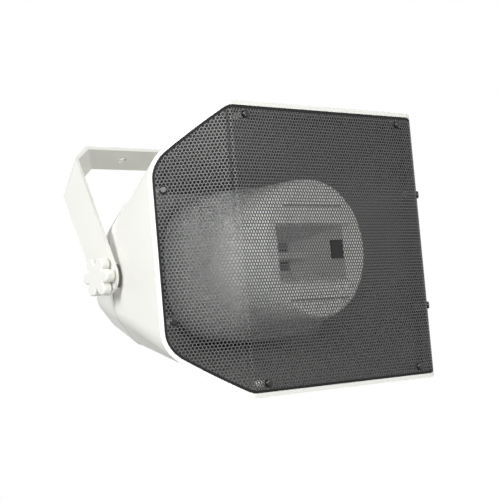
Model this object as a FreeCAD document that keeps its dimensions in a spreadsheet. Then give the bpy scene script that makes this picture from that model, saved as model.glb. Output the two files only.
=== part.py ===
import FreeCAD, Part
import math
import os
import Sketcher
from FreeCAD import Placement, Rotation, Vector

# Weatherproof coaxial horn speaker on a U-shaped yoke.
# Horn frame: x to the right seen from the front, y backwards from the flat panel of the grille, z up.
# Part frame: the same directions, with the origin in the middle of the yoke's mounting face.

SIZES = {
    # Mouth of the horn, as the walls would meet the plane of the flat panel
    "mouth_half_width": 304.0,
    "mouth_half_height": 201.0,
    "mouth_side_half": 155.5,
    "panel_half_width": 188.0,
    "mouth_corner": 50.0,
    "wing_angle": 39.5,
    "fold_radius": 20.0,
    # Neck, where the horn ends and the rear shell begins
    "neck_depth": 250.0,
    "neck_half_width": 212.0,
    "neck_half_height": 107.0,
    "neck_top_half": 173.0,
    "neck_side_half": 61.0,
    "neck_corner": 25.0,
    "rear_drop": 9.0,
    # Back of the rear shell
    "back_depth": 390.0,
    "back_half_width": 137.0,
    "back_half_height": 76.0,
    "back_top_half": 103.0,
    "back_side_half": 36.0,
    "wall": 5.0,
    "shell_gasket": 2.0,
    # Front rim and grille
    "lip": 6.0,
    "rim": 10.0,
    "rim_depth": 14.0,
    "grille_thickness": 1.2,
    "grille_recess": 0.6,
    "grille_clearance": 0.4,
    "hole_pitch": 50.0,
    "hole_bar": 5.0,
    "hole_margin": 8.0,
    "panel_screw_inset": 31.0,
    "panel_screw_margin": 12.0,
    "wing_screw_margin": 13.5,
    "wing_screw_z": 88.0,
    "wing_screw_drop": 2.4,
    "grille_screw_radius": 2.0,
    "grille_screw_head": 5.9,
    "grille_screw_rise": 4.0,
    "grille_screw_length": 16.0,
    "screw_boss": 6.6,
    "boss_rib": 5.0,
    "boss_depth": 20.0,
    "badge_half_width": 12.0,
    "badge_half_height": 13.5,
    "badge_thickness": 1.5,
    # Baffle and woofer
    "baffle_depth": 222.0,
    "baffle_thickness": 8.0,
    "baffle_hole": 93.0,
    "woofer_radius": 103.0,
    "woofer_gasket_thickness": 1.5,
    "flange_thickness": 4.0,
    "flange_inner": 85.0,
    "cone_radius": 75.0,
    "cone_depth": 36.0,
    "paper": 1.2,
    "suspension_gap": 0.3,
    "coil_radius": 20.0,
    "coil_wall": 0.8,
    "basket_depth": 56.0,
    "basket_sheet": 3.0,
    "basket_base": 50.0,
    "spider_depth": 44.0,
    "spider_radius": 42.0,
    "spider_wave": 7.0,
    "plate_thickness": 6.0,
    "plate_radius": 52.0,
    "magnet_thickness": 20.0,
    "magnet_radius": 58.0,
    "gap_radius": 21.2,
    "gap_relief": 2.0,
    "pole_radius": 18.4,
    "woofer_bolt_radius": 98.0,
    "woofer_bolt_shank": 2.0,
    "woofer_bolt_head": 3.8,
    "woofer_bolt_length": 11.0,
    # Centre pod with the high-frequency horn
    "pod_front": 40.0,
    "pod_radius": 99.0,
    "pod_front_rise": 6.5,
    "pod_drop": 4.5,
    "pod_back": 190.0,
    "pod_back_half_width": 158.0,
    "pod_back_half_height": 109.0,
    "pod_back_drop": 8.0,
    "pod_wall": 4.0,
    "seam_height": 78.0,
    "seam_width": 1.6,
    "seam_depth": 1.0,
    "seam_length": 110.0,
    "hf_mouth_half_width": 79.0,
    "hf_mouth_half_height": 43.0,
    "hf_lip_half_width": 60.0,
    "hf_lip_half_height": 68.0,
    "hf_lip_depth": 2.5,
    "hf_throat_half_width": 10.0,
    "hf_throat_half_height": 21.0,
    "hf_horn_length": 68.0,
    "hf_divider_thickness": 10.0,
    "hf_divider_length": 20.0,
    "hf_wall": 3.0,
    "hf_flange_radius": 38.0,
    "hf_flange_thickness": 5.0,
    "hf_driver_radius": 44.0,
    "hf_driver_length": 42.0,
    "hf_throat_bore": 12.5,
    "hf_bolt_circle": 31.0,
    "hf_bolt_shank": 2.5,
    "hf_bolt_head": 4.5,
    "pod_cover_thickness": 4.0,
    "pod_leg_x": 107.0,
    "pod_leg_z": 58.0,
    "pod_leg_radius": 9.0,
    "pod_screw_shank": 2.5,
    "pod_screw_head": 5.0,
    "pod_screw_length": 26.0,
    # Rear shell fixings, terminal cover and gland
    "tie_x": 116.0,
    "tie_z": 24.0,
    "tie_boss": 8.0,
    "tie_screw_shank": 2.5,
    "tie_screw_head": 5.5,
    "screw_head_height": 3.0,
    "cover_half_width": 62.0,
    "cover_half_height": 46.0,
    "cover_corner": 8.0,
    "cover_thickness": 4.0,
    "cover_gasket": 1.5,
    "cover_overlap": 16.0,
    "cover_screw_inset": 8.0,
    "cover_screw_shank": 2.0,
    "cover_screw_head": 4.0,
    "cover_screw_length": 12.0,
    "gland_stem": 8.0,
    "gland_flange": 13.0,
    "gland_drop": 14.0,
    "gland_bore": 4.5,
    "gland_nut_radius": 12.5,
    "gland_lip": 2.0,
    "terminal_half_width": 26.0,
    "terminal_height": 16.0,
    "terminal_depth": 15.0,
    "transformer_x": 83.0,
    "transformer_width": 44.0,
    "transformer_height": 40.0,
    "transformer_depth": 36.0,
    "board_x": 82.0,
    "board_width": 46.0,
    "board_height": 80.0,
    "board_thickness": 1.6,
    "board_stand": 8.0,
    "standoff_radius": 3.5,
    "coil_block_radius": 14.0,
    "coil_block_height": 16.0,
    # Pivot, yoke and hand knobs
    "pivot_depth": 230.0,
    "pivot_drop": 15.0,
    "arm_clearance": 7.2,
    "pivot_boss": 19.5,
    "boss_reach": 40.0,
    "insert_radius": 8.0,
    "insert_length": 32.0,
    "stud_radius": 5.0,
    "running_fit": 0.05,
    "washer_radius": 24.0,
    "washer_thickness": 2.5,
    "slip_gap": 0.1,
    "yoke_thickness": 5.0,
    "yoke_width": 53.5,
    "yoke_reach": 204.5,
    "yoke_lean": 23.0,
    "bend_radius": 3.0,
    "front_cut_x": 27.4,
    "front_cut_z": 20.9,
    "rear_cut_x": 68.6,
    "rear_cut_z": 52.4,
    "mount_hole_x": 130.0,
    "mount_hole": 6.5,
    "knob_hub": 13.0,
    "knob_hub_length": 4.0,
    "knob_core": 19.0,
    "knob_lobe": 9.0,
    "knob_lobe_circle": 20.0,
    "knob_thickness": 13.0,
    "knob_round": 3.0,
    "stud_depth_in_knob": 12.0,
}

doc = FreeCAD.newDocument("horn_speaker")
dim = doc.addObject("Spreadsheet::Sheet", "dim")
for row, (alias, number) in enumerate(SIZES.items(), 1):
    dim.set(f"A{row}", alias)
    dim.set(f"B{row}", str(number))
    dim.setAlias(f"B{row}", alias)
doc.recompute()


def size(alias):
    """Number held by one cell of the sheet."""
    return float(dim.get(alias))


def value(expression):
    """Number that an expression over the sheet gives now."""
    return float(dim.evalExpression(expression))


# Where the horn frame lies in the part frame
LEAN = math.radians(size("yoke_lean"))
PIVOT = Vector(0, -size("yoke_reach") * math.sin(LEAN), -size("yoke_reach") * math.cos(LEAN))
HORN = PIVOT - Vector(0, size("pivot_depth"), -size("pivot_drop"))
REAR_AXIS = HORN - Vector(0, 0, size("rear_drop"))
POD = HORN - Vector(0, 0, size("pod_drop"))
ARM_INNER = ("(dim.mouth_half_width + (dim.neck_half_width - dim.mouth_half_width) * (dim.pivot_depth"
             " - dim.yoke_width / 2) / dim.neck_depth + dim.arm_clearance)")
PIVOT_FACE = f"({ARM_INNER} - dim.washer_thickness - dim.slip_gap)"
LOBES = 6
POD_POINTS = 32
POD_SHARES = (0.06, 0.2, 0.5, 1.0)
WOOFER_BOLTS = 8
BASKET_WINDOWS = 6
OPEN = 2.0 * size("back_depth")
parts = {}


def add_feature(label, shape, base=HORN, rotation=Rotation()):
    """Sub-part whose shape is made by Part's own functions."""
    feature = doc.addObject("Part::Feature", label)
    feature.Label = label
    feature.Shape = shape
    feature.Placement = Placement(base, rotation)
    parts[label] = feature
    return feature


def add_body(label, base=HORN, rotation=Rotation()):
    """Empty body of a sub-part."""
    body = doc.addObject("PartDesign::Body", label)
    body.Label = label
    body.Placement = Placement(base, rotation)
    parts[label] = body
    return body


def sketch_outline(body, role, name, points):
    """Closed sketch on one origin plane of the body, each corner bound to the sheet."""
    sketch = body.newObject("Sketcher::SketchObject", name)
    plane = next(item for item in body.Origin.OriginFeatures if item.Role == role)
    sketch.AttachmentSupport = (plane, [""])
    sketch.MapMode = "FlatFace"
    corners = [Vector(value(across), value(along), 0) for across, along in points]
    count = len(corners)
    for index, corner in enumerate(corners):
        sketch.addGeometry(Part.LineSegment(corner, corners[(index + 1) % count]))
    for index in range(count):
        sketch.addConstraint(Sketcher.Constraint("Coincident", index, 2, (index + 1) % count, 1))
    for index, (across, along) in enumerate(points):
        for kind, expression in (("DistanceX", across), ("DistanceY", along)):
            constraint = Sketcher.Constraint(kind, -1, 1, index, 1, value(expression))
            number = sketch.addConstraint(constraint)
            sketch.setExpression(f"Constraints[{number}]", expression)
    return sketch


def revolve(label, points, base=HORN, axis="V_Axis"):
    """Turned sub-part: the outline turned about the sketch's own axis."""
    body = add_body(label, base)
    sketch = sketch_outline(body, "XY_Plane", label + "_section", points)
    turn = body.newObject("PartDesign::Revolution", label + "_turn")
    turn.Profile = sketch
    turn.ReferenceAxis = (sketch, [axis])
    turn.Angle = 360
    return body


def octagon(half_width, half_height, top_half, side_half, inset):
    """Corners of an eight-sided outline moved inwards by the inset, as (x, z) pairs."""
    run = half_width - top_half
    rise = half_height - side_half
    length = math.hypot(run, rise)
    slope = rise / run
    level = half_height + slope * top_half - inset * length / run
    width = half_width - inset
    height = half_height - inset
    quarter = [(width, level - slope * width), ((level - height) / slope, height)]
    upper = quarter + [(-x, z) for x, z in reversed(quarter)]
    return upper + [(-x, -z) for x, z in upper]


def rounded_wire(corners, radius, depth, drop):
    """Closed wire of lines and tangent arcs round the corners, in the plane y = depth."""
    edges = []
    ends = []
    count = len(corners)
    points = [Vector(x, depth, z - drop) for x, z in corners]
    for index, corner in enumerate(points):
        before = (points[index - 1] - corner).normalize()
        after = (points[(index + 1) % count] - corner).normalize()
        half_angle = before.getAngle(after) / 2
        reach = radius / math.tan(half_angle)
        middle = (before + after).normalize()
        top = corner + middle * (radius / math.sin(half_angle) - radius)
        ends.append((corner + before * reach, top, corner + after * reach))
    for index, (start, top, finish) in enumerate(ends):
        edges.append(Part.Arc(start, top, finish).toShape())
        edges.append(Part.LineSegment(finish, ends[(index + 1) % count][0]).toShape())
    return Part.Wire(edges)


def mouth_wire(inset):
    corners = octagon(size("mouth_half_width"), size("mouth_half_height"), size("panel_half_width"),
                      size("mouth_side_half"), inset)
    return rounded_wire(corners, size("mouth_corner") - inset, 0, 0)


def neck_wire(inset, depth):
    corners = octagon(size("neck_half_width"), size("neck_half_height"), size("neck_top_half"),
                      size("neck_side_half"), inset)
    return rounded_wire(corners, size("neck_corner") - inset, depth, size("rear_drop"))


def back_wire(inset, depth):
    corners = octagon(size("back_half_width"), size("back_half_height"), size("back_top_half"),
                      size("back_side_half"), inset)
    return rounded_wire(corners, size("neck_corner") - inset, depth, size("rear_drop"))


def horn_flare(inset):
    """Solid flare from the mouth to the neck, moved inwards by the inset."""
    return Part.makeLoft([mouth_wire(inset), neck_wire(inset, size("neck_depth"))], True, True)


def behind_front(setback):
    """Everything behind the folded front, set back by a distance along its normals."""
    angle = math.radians(size("wing_angle"))
    bend = size("fold_radius")
    radius = bend - setback
    centre_x = size("panel_half_width") - bend * math.tan(angle / 2)
    far = size("mouth_half_width") + size("panel_half_width")

    def on_bend(turn):
        return Vector(centre_x + radius * math.sin(turn), bend - radius * math.cos(turn), -OPEN)

    start, top, finish = on_bend(0), on_bend(angle / 2), on_bend(angle)
    outer = finish + Vector(math.cos(angle), math.sin(angle), 0) * far
    edge = Vector(outer.x, OPEN, -OPEN)

    def mirror(point):
        return Vector(-point.x, point.y, point.z)

    edges = [
        Part.LineSegment(mirror(start), start).toShape(),
        Part.Arc(start, top, finish).toShape(),
        Part.LineSegment(finish, outer).toShape(),
        Part.LineSegment(outer, edge).toShape(),
        Part.LineSegment(edge, mirror(edge)).toShape(),
        Part.LineSegment(mirror(edge), mirror(outer)).toShape(),
        Part.LineSegment(mirror(outer), mirror(finish)).toShape(),
        Part.Arc(mirror(finish), mirror(top), mirror(start)).toShape(),
    ]
    return Part.Face(Part.Wire(edges)).extrude(Vector(0, 0, 2 * OPEN))


def slab(start, end):
    """Everything between two depths."""
    return Part.makeBox(2 * OPEN, end - start, 2 * OPEN, Vector(-OPEN, start, -OPEN))


def rod(radius, start, length, direction):
    return Part.makeCylinder(radius, length, start, direction)


def four_places(across, up, drop=0.0):
    return [Vector(side * across, 0, level * up - drop) for side in (-1, 1) for level in (-1, 1)]


def grille_screw_places():
    """The eight grille screws' points on the front surface, with the ways inwards and to the nearest wall."""
    angle = math.radians(size("wing_angle"))
    across = size("panel_half_width") - size("panel_screw_inset")
    up = size("mouth_half_height") - size("lip") - size("panel_screw_margin")
    places = [(point, Vector(0, 1, 0), Vector(0, 0, math.copysign(1, point.z)))
              for point in four_places(across, up)]
    slope = (size("mouth_half_width") - size("neck_half_width")) / size("neck_depth")
    edge = size("mouth_half_width") - size("lip") - size("panel_half_width")
    reach = edge / (math.cos(angle) + slope * math.sin(angle)) - size("wing_screw_margin")
    for side in (-1, 1):
        fold = Vector(side * size("panel_half_width"), 0, 0)
        along = Vector(side * math.cos(angle), math.sin(angle), 0)
        inward = Vector(-side * math.sin(angle), math.cos(angle), 0)
        for level in (-1, 1):
            height = Vector(0, 0, level * size("wing_screw_z") - size("wing_screw_drop"))
            places.append((fold + along * reach + height, inward, along))
    return places


def screw(seat, direction, head_radius, head_height, shank_radius, length):
    """Pan-head screw: the head in front of its seat, the shank behind it."""
    head = rod(head_radius, seat - direction * head_height, head_height, direction)
    rim = [edge for edge in head.Edges if edge.Closed and (edge.CenterOfMass - seat).Length > head_height / 2]
    head = head.makeFillet(head_height * 0.6, rim)
    return head.fuse(rod(shank_radius, seat, length, direction)).removeSplitter()


# Horn housing: flare, folded front rim with its rebate, baffle and bosses
rebate = size("grille_recess") + size("grille_thickness")
baffle_back = size("baffle_depth") + size("baffle_thickness")
shell_front = size("neck_depth") + size("shell_gasket")
tie_places = four_places(size("tie_x"), size("tie_z"), size("rear_drop"))
leg_places = four_places(size("pod_leg_x"), size("pod_leg_z"), size("rear_drop"))


def boss_rib(seat, inward, outward):
    """Web from a grille screw's boss out to the wall beside it."""
    across = inward.cross(outward) * (size("boss_rib") / 2)
    tip = seat + outward * (3 * size("screw_boss"))
    corners = [seat - across, seat + across, tip + across, tip - across]
    return Part.Face(Part.makePolygon(corners + corners[:1])).extrude(inward * size("boss_depth"))


def make_housing():
    outer = horn_flare(0)
    inner = horn_flare(size("wall"))
    housing = outer.common(behind_front(0))
    front_space = inner.common(behind_front(size("rim_depth"))).common(slab(-OPEN, size("baffle_depth")))
    rear_space = inner.common(slab(baffle_back, OPEN))
    mouth = horn_flare(size("rim")).cut(behind_front(size("rim_depth") + rebate))
    ledge = horn_flare(size("lip")).cut(behind_front(rebate))
    housing = housing.cut([front_space, rear_space, mouth, ledge])
    bosses = []
    bores = []
    for place, inward, outward in grille_screw_places():
        seat = place + inward * rebate
        bosses.append(rod(size("screw_boss"), seat, size("boss_depth"), inward).common(outer))
        bosses.append(boss_rib(seat, inward, outward).common(outer))
        bores.append(rod(size("grille_screw_radius"), seat, size("grille_screw_length"), inward))
    back = Vector(0, 1, 0)
    for place in tie_places:
        foot = place + back * baffle_back
        bosses.append(rod(size("tie_boss"), foot, shell_front - baffle_back, back))
        bores.append(rod(size("tie_screw_shank"), foot, OPEN, back))
    for place in leg_places:
        bores.append(rod(size("pod_screw_shank"), place + back * size("baffle_depth"), OPEN, back))
    centre = Vector(0, size("baffle_depth"), -size("rear_drop"))
    bores.append(rod(size("baffle_hole"), centre, size("baffle_thickness"), back))
    for place in woofer_bolt_places():
        bores.append(rod(size("woofer_bolt_shank"), place, size("woofer_bolt_length"), -back))
    for side in (-1, 1):
        face = Vector(side * value(PIVOT_FACE), size("pivot_depth"), -size("pivot_drop"))
        inward = Vector(-side, 0, 0)
        bosses.append(rod(size("pivot_boss"), face, size("boss_reach"), inward))
        bores.append(rod(size("insert_radius"), face, size("insert_length"), inward))
    return housing.fuse(bosses).cut(bores).removeSplitter()


def woofer_bolt_places():
    """Seats of the woofer's bolts on the back of its flange."""
    seat = baffle_back + size("woofer_gasket_thickness") + size("flange_thickness")
    places = []
    for index in range(WOOFER_BOLTS):
        turn = 2 * math.pi * (index + 0.5) / WOOFER_BOLTS
        radius = size("woofer_bolt_radius")
        places.append(Vector(radius * math.cos(turn), seat, radius * math.sin(turn) - size("rear_drop")))
    return places


def make_rear_shell():
    outer = Part.makeLoft([neck_wire(0, shell_front), back_wire(0, size("back_depth"))], True, True)
    inner_back = size("back_depth") - size("wall")
    inner = Part.makeLoft([neck_wire(size("wall"), shell_front), back_wire(size("wall"), inner_back)], True, True)
    shell = outer.cut(inner)
    back = Vector(0, 1, 0)
    pillars = [rod(size("tie_boss"), place + back * shell_front, inner_back - shell_front, back)
               for place in tie_places]
    pillars += [rod(size("standoff_radius"), place, size("board_stand"), -back) for place in board_places()]
    hole_width = size("cover_half_width") - size("cover_overlap")
    hole_height = size("cover_half_height") - size("cover_overlap")
    corner = Vector(-hole_width, inner_back, -hole_height - size("rear_drop"))
    bores = [Part.makeBox(2 * hole_width, size("wall"), 2 * hole_height, corner)]
    bores += [rod(size("tie_screw_shank"), place, OPEN, back) for place in tie_places]
    bores += [rod(size("cover_screw_shank"), place + back * size("back_depth"), size("cover_screw_length"), -back)
              for place in cover_screw_places()]
    return shell.fuse(pillars).cut(bores).removeSplitter()


def cover_screw_places():
    inset = size("cover_screw_inset")
    return four_places(size("cover_half_width") - inset, size("cover_half_height") - inset, size("rear_drop"))


def board_places():
    """Feet of the crossover board's standoffs on the inside of the back wall."""
    depth = size("back_depth") - size("wall")
    inset = 2 * size("standoff_radius")
    places = four_places(size("board_width") / 2 - inset, size("board_height") / 2 - inset, size("rear_drop"))
    return [place + Vector(size("board_x"), depth, 0) for place in places]


def make_shell_gasket():
    length = Vector(0, size("shell_gasket"), 0)
    outer = Part.Face(neck_wire(0, size("neck_depth"))).extrude(length)
    inner = Part.Face(neck_wire(size("wall"), size("neck_depth"))).extrude(length)
    return outer.cut(inner)


# Grille: one folded sheet with hexagonal openings
def hexagon_bars(place, along, inward, first, last, half_height):
    """Six-sided cutters in staggered rows over one flat of the grille, from its first to its last place."""
    pitch = size("hole_pitch")
    radius = (pitch - size("hole_bar")) / math.sqrt(3)
    row_step = pitch * math.sqrt(3) / 2
    rows = math.ceil(half_height / row_step)
    cutters = []
    for row in range(-rows, rows + 1):
        across = first + pitch / 2 + (pitch / 2 if row % 2 else 0.0)
        while across + pitch / 2 <= last:
            centre = place + along * across + Vector(0, 0, row * row_step)
            ring = []
            for corner in range(7):
                turn = math.pi / 3 * corner + math.pi / 6
                ring.append(centre + along * (radius * math.cos(turn)) + Vector(0, 0, radius * math.sin(turn)))
            face = Part.Face(Part.makePolygon(ring))
            cutters.append(face.extrude(inward * (2 * size("fold_radius"))))
            across += pitch
    return cutters


def make_grille():
    outline = horn_flare(size("lip") + size("grille_clearance"))
    sheet = outline.common(behind_front(size("grille_recess"))).cut(behind_front(rebate))
    angle = math.radians(size("wing_angle"))
    pitch = size("hole_pitch")
    bend = size("fold_radius") * math.tan(angle / 2)
    top = size("mouth_half_height")
    half_panel = pitch / 2 * int(2 * (size("panel_half_width") - bend) / pitch)
    cutters = hexagon_bars(Vector(0, -size("fold_radius"), 0), Vector(1, 0, 0), Vector(0, 1, 0),
                           -half_panel, half_panel, top)
    wing = (size("mouth_half_width") - size("panel_half_width")) / math.cos(angle)
    for side in (-1, 1):
        along = Vector(side * math.cos(angle), math.sin(angle), 0)
        inward = Vector(-side * math.sin(angle), math.cos(angle), 0)
        fold = Vector(side * size("panel_half_width"), 0, 0) - inward * size("fold_radius")
        cutters += hexagon_bars(fold, along, inward, bend, wing, top)
    guards = [rod(size("screw_boss") + size("hole_bar"), place - inward * size("fold_radius"),
                  2 * size("fold_radius"), inward) for place, inward, outward in grille_screw_places()]
    badge = math.hypot(size("badge_half_width"), size("badge_half_height")) + size("hole_bar")
    badge_front = Vector(0, -size("fold_radius"), -size("pod_drop"))
    guards.append(rod(badge, badge_front, 2 * size("fold_radius"), Vector(0, 1, 0)))
    field = horn_flare(size("lip") + size("hole_margin")).cut(guards)
    whole = cutters[0].Volume
    openings = [cutter.common(field) for cutter in cutters]
    openings = [opening for opening in openings if opening.Volume > whole * 0.15]
    openings += [rod(size("grille_screw_radius"), place, 2 * rebate, inward)
                 for place, inward, outward in grille_screw_places()]
    return sheet.cut(openings)


def make_grille_screws():
    screws = []
    for place, inward, outward in grille_screw_places():
        seat = place + inward * size("grille_recess")
        length = size("grille_screw_length")
        screws.append(screw(seat, inward, size("grille_screw_head"), size("grille_screw_rise"),
                            size("grille_screw_radius"), length))
    return Part.makeCompound(screws)


# Centre pod: round front, convex body, and the rectangular horn inside it; made about its own axis
def pod_section(share, inset):
    """Smooth closed outline of the pod at a share of its length, round in front and squarer behind."""
    front, back = size("pod_front"), size("pod_back")
    wide = size("pod_radius") + (size("pod_back_half_width") - size("pod_radius")) * share ** 0.6 - inset
    high = size("pod_radius") + (size("pod_back_half_height") - size("pod_radius")) * share ** 0.4 - inset
    power = 2 + share
    rise = size("pod_front_rise") - share * (size("pod_front_rise") + size("pod_back_drop"))
    points = []
    for index in range(POD_POINTS):
        turn = 2 * math.pi * index / POD_POINTS
        across, up = math.cos(turn), math.sin(turn)
        reach = (abs(across / wide) ** power + abs(up / high) ** power) ** (-1 / power)
        points.append(Vector(reach * across, front + share * (back - front), reach * up + rise))
    curve = Part.BSplineCurve()
    curve.interpolate(Points=points, PeriodicFlag=True)
    return Part.Wire(curve.toShape())


def pod_body(inset):
    """Solid of the pod moved inwards by the inset, its front too."""
    start = inset / (size("pod_back") - size("pod_front"))
    return Part.makeLoft([pod_section(share, inset) for share in (start,) + POD_SHARES], True, False)


def hf_section(half_width, half_height, depth):
    corners = [Vector(x * half_width, depth, z * half_height) for x, z in ((1, 1), (-1, 1), (-1, -1), (1, -1))]
    return Part.makePolygon(corners + corners[:1])


def hf_horn(grow):
    throat = size("pod_front") + size("hf_horn_length")
    mouth = hf_section(size("hf_mouth_half_width") + grow, size("hf_mouth_half_height") + grow, size("pod_front"))
    end = hf_section(size("hf_throat_half_width") + grow, size("hf_throat_half_height") + grow, throat)
    return Part.makeLoft([mouth, end], True, True)


hf_seat = size("pod_front") + size("hf_horn_length")


def hf_lips():
    """Shallow slopes above and below the horn's mouth."""
    depth = size("pod_front") + size("hf_lip_depth")
    front = hf_section(size("hf_lip_half_width"), size("hf_lip_half_height"), size("pod_front"))
    end = hf_section(size("hf_lip_half_width"), size("hf_mouth_half_height"), depth)
    return Part.makeLoft([front, end], True, True)


def hf_divider():
    """Level vane that splits the throat into two slots."""
    half, thick = size("hf_mouth_half_width"), size("hf_divider_thickness")
    corner = Vector(-half, hf_seat - size("hf_divider_length"), -thick / 2)
    vane = Part.makeBox(2 * half, size("hf_divider_length"), thick, corner)
    return vane.common(hf_horn(size("hf_wall")))


def pod_seams():
    """Shallow seam lines along the pod's flanks."""
    width = size("seam_width")
    start = size("pod_front") + size("seam_depth")
    core = pod_body(size("seam_depth"))
    return [Part.makeBox(2 * OPEN, size("seam_length"), width, Vector(-OPEN, start, level - width / 2)).cut(core)
            for level in (-size("seam_height"), size("seam_height"))]


def hf_bolt_places(depth):
    radius = size("hf_bolt_circle")
    return [Vector(side * radius, depth, 0) for side in (-1, 1)]


def make_pod():
    back = Vector(0, 1, 0)
    flange_start = hf_seat - size("hf_flange_thickness")
    flange = rod(size("hf_flange_radius"), Vector(0, flange_start, 0), size("hf_flange_thickness"), back)
    pod = pod_body(0).cut(pod_body(size("pod_wall")))
    pod = pod.fuse([hf_horn(size("hf_wall")), flange]).cut([hf_horn(0), hf_lips()] + pod_seams())
    bolts = [rod(size("hf_bolt_shank"), place, size("hf_flange_thickness"), back)
             for place in hf_bolt_places(flange_start)]
    return pod.fuse(hf_divider()).cut(bolts).removeSplitter()


def make_pod_cover():
    back = Vector(0, 1, 0)
    start = size("pod_back")
    cover = Part.Face(pod_section(1, 0)).extrude(back * size("pod_cover_thickness"))
    rise = Vector(0, 0, size("pod_drop"))
    legs = []
    bores = []
    for place in leg_places:
        legs.append(rod(size("pod_leg_radius"), place + rise + back * start, size("baffle_depth") - start, back))
        end = place + rise + back * baffle_back
        bores.append(rod(size("pod_screw_shank"), end, size("pod_screw_length"), -back))
    return cover.fuse(legs).cut(bores).removeSplitter()


def make_pod_screws():
    front = Vector(0, -1, 0)
    screws = [screw(place - front * baffle_back, front, size("pod_screw_head"), size("screw_head_height"),
                    size("pod_screw_shank"), size("pod_screw_length")) for place in leg_places]
    return Part.makeCompound(screws)


def make_hf_bolts():
    back = Vector(0, 1, 0)
    seat = hf_seat - size("hf_flange_thickness")
    length = size("hf_flange_thickness") + 2 * size("hf_bolt_head")
    screws = [screw(place, back, size("hf_bolt_head"), size("screw_head_height"), size("hf_bolt_shank"), length)
              for place in hf_bolt_places(seat)]
    return Part.makeCompound(screws)


def make_hf_driver():
    back = Vector(0, 1, 0)
    seat = Vector(0, hf_seat, 0)
    driver = rod(size("hf_driver_radius"), seat, size("hf_driver_length"), back)
    ring = driver.Edges
    driver = driver.makeFillet(size("hf_flange_thickness") / 2, [edge for edge in ring if edge.Closed])
    bores = [rod(size("hf_bolt_shank"), place, 2 * size("hf_bolt_head"), back)
             for place in hf_bolt_places(hf_seat)]
    bores.append(rod(size("hf_throat_bore"), seat, size("hf_driver_length") / 2, back))
    return driver.cut(bores)


# Yoke: strap bent into a U, its corners folded across by a tapering facet
arm_inner = value(ARM_INNER)
arm_outer = arm_inner + size("yoke_thickness")


def corner_wedge(half_span, top, cuts, side):
    """Piece beyond the slanting facet at one corner of the U."""
    half = size("yoke_width") / 2
    triangles = []
    for depth, (cut_x, cut_z) in zip((-half, half), cuts):
        corners = [Vector(side * half_span, depth, top), Vector(side * (half_span - cut_x), depth, top),
                   Vector(side * half_span, depth, top - cut_z)]
        triangles.append(Part.makePolygon(corners + corners[:1]))
    return Part.makeLoft(triangles, True, True)


def inner_cut(cut_x, cut_z):
    """Facet cut of the inner face, one strap thickness inside that of the outer face."""
    thickness = size("yoke_thickness")
    share = 1 + thickness * (math.hypot(1 / cut_x, 1 / cut_z) - 1 / cut_x - 1 / cut_z)
    return cut_x * share, cut_z * share


def round_folds(strap):
    """Bend radii at the eight fold lines across the strap, smaller on its inner face."""
    folds = [edge for edge in strap.Edges
             if edge.BoundBox.YLength > size("yoke_width") - size("slip_gap") and edge.BoundBox.ZMin > 0]
    inner = []
    outer = []
    for edge in folds:
        middle = edge.valueAt((edge.FirstParameter + edge.LastParameter) / 2)
        inward = Vector(-math.copysign(1, middle.x), 0, -1).normalize()
        beside = middle + inward * size("slip_gap")
        (outer if strap.isInside(beside, size("running_fit") / 10, True) else inner).append(edge)
    strap = strap.makeFillet(size("bend_radius") + size("yoke_thickness"), outer)
    return strap.makeFillet(size("bend_radius"), inner)


def make_yoke():
    half = size("yoke_width") / 2
    top = size("yoke_reach")
    thickness = size("yoke_thickness")
    cuts = [(size("front_cut_x"), size("front_cut_z")), (size("rear_cut_x"), size("rear_cut_z"))]
    inner_cuts = [inner_cut(*cut) for cut in cuts]
    strap = Part.makeBox(2 * arm_outer, 2 * half, top, Vector(-arm_outer, -half, 0))
    space = Part.makeBox(2 * arm_inner, 2 * half, top - thickness, Vector(-arm_inner, -half, 0))
    strap = strap.cut([corner_wedge(arm_outer, top, cuts, side) for side in (-1, 1)])
    space = space.cut([corner_wedge(arm_inner, top - thickness, inner_cuts, side) for side in (-1, 1)])
    ends = rod(half, Vector(-arm_outer, 0, 0), 2 * arm_outer, Vector(1, 0, 0))
    gap = rod(2 * half, Vector(-arm_inner, 0, 0), 2 * arm_inner, Vector(1, 0, 0))
    yoke = strap.cut(space).fuse(ends.cut(gap)).removeSplitter()
    yoke = round_folds(yoke)
    pin = rod(size("stud_radius") + size("running_fit"), Vector(-arm_outer, 0, 0), 2 * arm_outer, Vector(1, 0, 0))
    holes = [rod(size("mount_hole"), Vector(side * size("mount_hole_x"), 0, top), thickness, Vector(0, 0, -1))
             for side in (-1, 1)]
    return yoke.cut([pin] + holes)


# Hand knobs: a lobed head on a hub, screwed down on the arms
knob_seat = arm_outer + size("slip_gap")


def make_knob(side):
    out = Vector(side, 0, 0)
    hub = rod(size("knob_hub"), out * knob_seat, size("knob_hub_length") + size("knob_round"), out)
    start = out * (knob_seat + size("knob_hub_length"))
    core = rod(size("knob_core"), start, size("knob_thickness"), out)
    lobes = []
    for index in range(LOBES):
        turn = 2 * math.pi * index / LOBES
        offset = Vector(0, math.cos(turn), math.sin(turn)) * size("knob_lobe_circle")
        lobes.append(rod(size("knob_lobe"), start + offset, size("knob_thickness"), out))
    head = core.fuse(lobes).removeSplitter()
    level = (start + out * size("knob_thickness")).x
    flat = size("running_fit")
    rim = [edge for edge in head.Edges if abs(edge.BoundBox.XMax - level) < flat and edge.BoundBox.XLength < flat]
    head = head.makeFillet(size("knob_round"), rim)
    bore = rod(size("stud_radius"), out * knob_seat, size("stud_depth_in_knob"), out)
    return head.fuse(hub).cut(bore).removeSplitter()


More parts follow.
